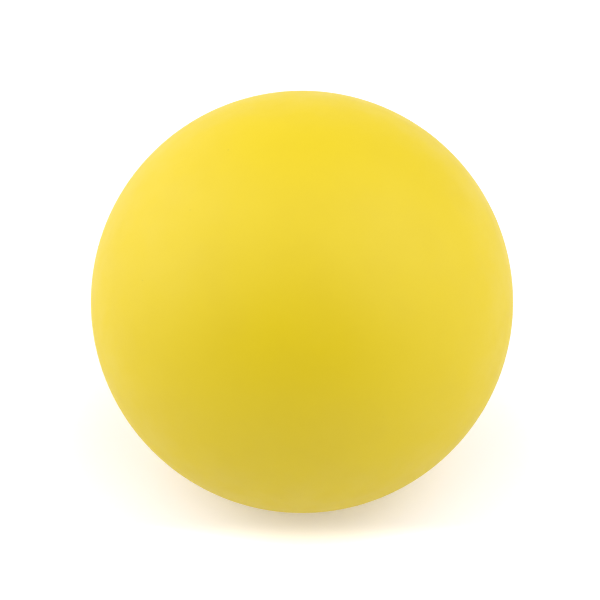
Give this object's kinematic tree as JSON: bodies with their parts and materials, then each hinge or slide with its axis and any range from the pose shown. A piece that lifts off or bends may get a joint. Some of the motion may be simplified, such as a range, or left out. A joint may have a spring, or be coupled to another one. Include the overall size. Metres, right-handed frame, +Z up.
{
  "type": "playground ball",
  "caption": "Smooth round inflated rubber playground ball with a plain matte yellow cover over a thread-wound bladder and a needle valve at the back.",
  "frame": {"origin": "the centre of the ball", "axes": "+Z up, +Y out through the middle of the valve, which faces away from the camera, +X to the right"},
  "size_m": [0.216, 0.2156, 0.216],
  "materials": {
    "cover_rubber": "matte",
    "nylon_thread": "matte",
    "bladder_rubber": "matte",
    "valve_rubber": "matte",
    "core_rubber": "matte"
  },
  "bodies": {
    "ball": {"cover": "cover_rubber", "winding": "nylon_thread", "bladder": "bladder_rubber", "valve_housing": "valve_rubber"},
    "core": {"valve_core": "core_rubber"}
  },
  "joints": [
    {"name": "valve_core_pull", "type": "slide", "parent": "ball", "child": "core", "axis": [0, 1, 0], "range_m": [0, 0.03]}
  ]
}
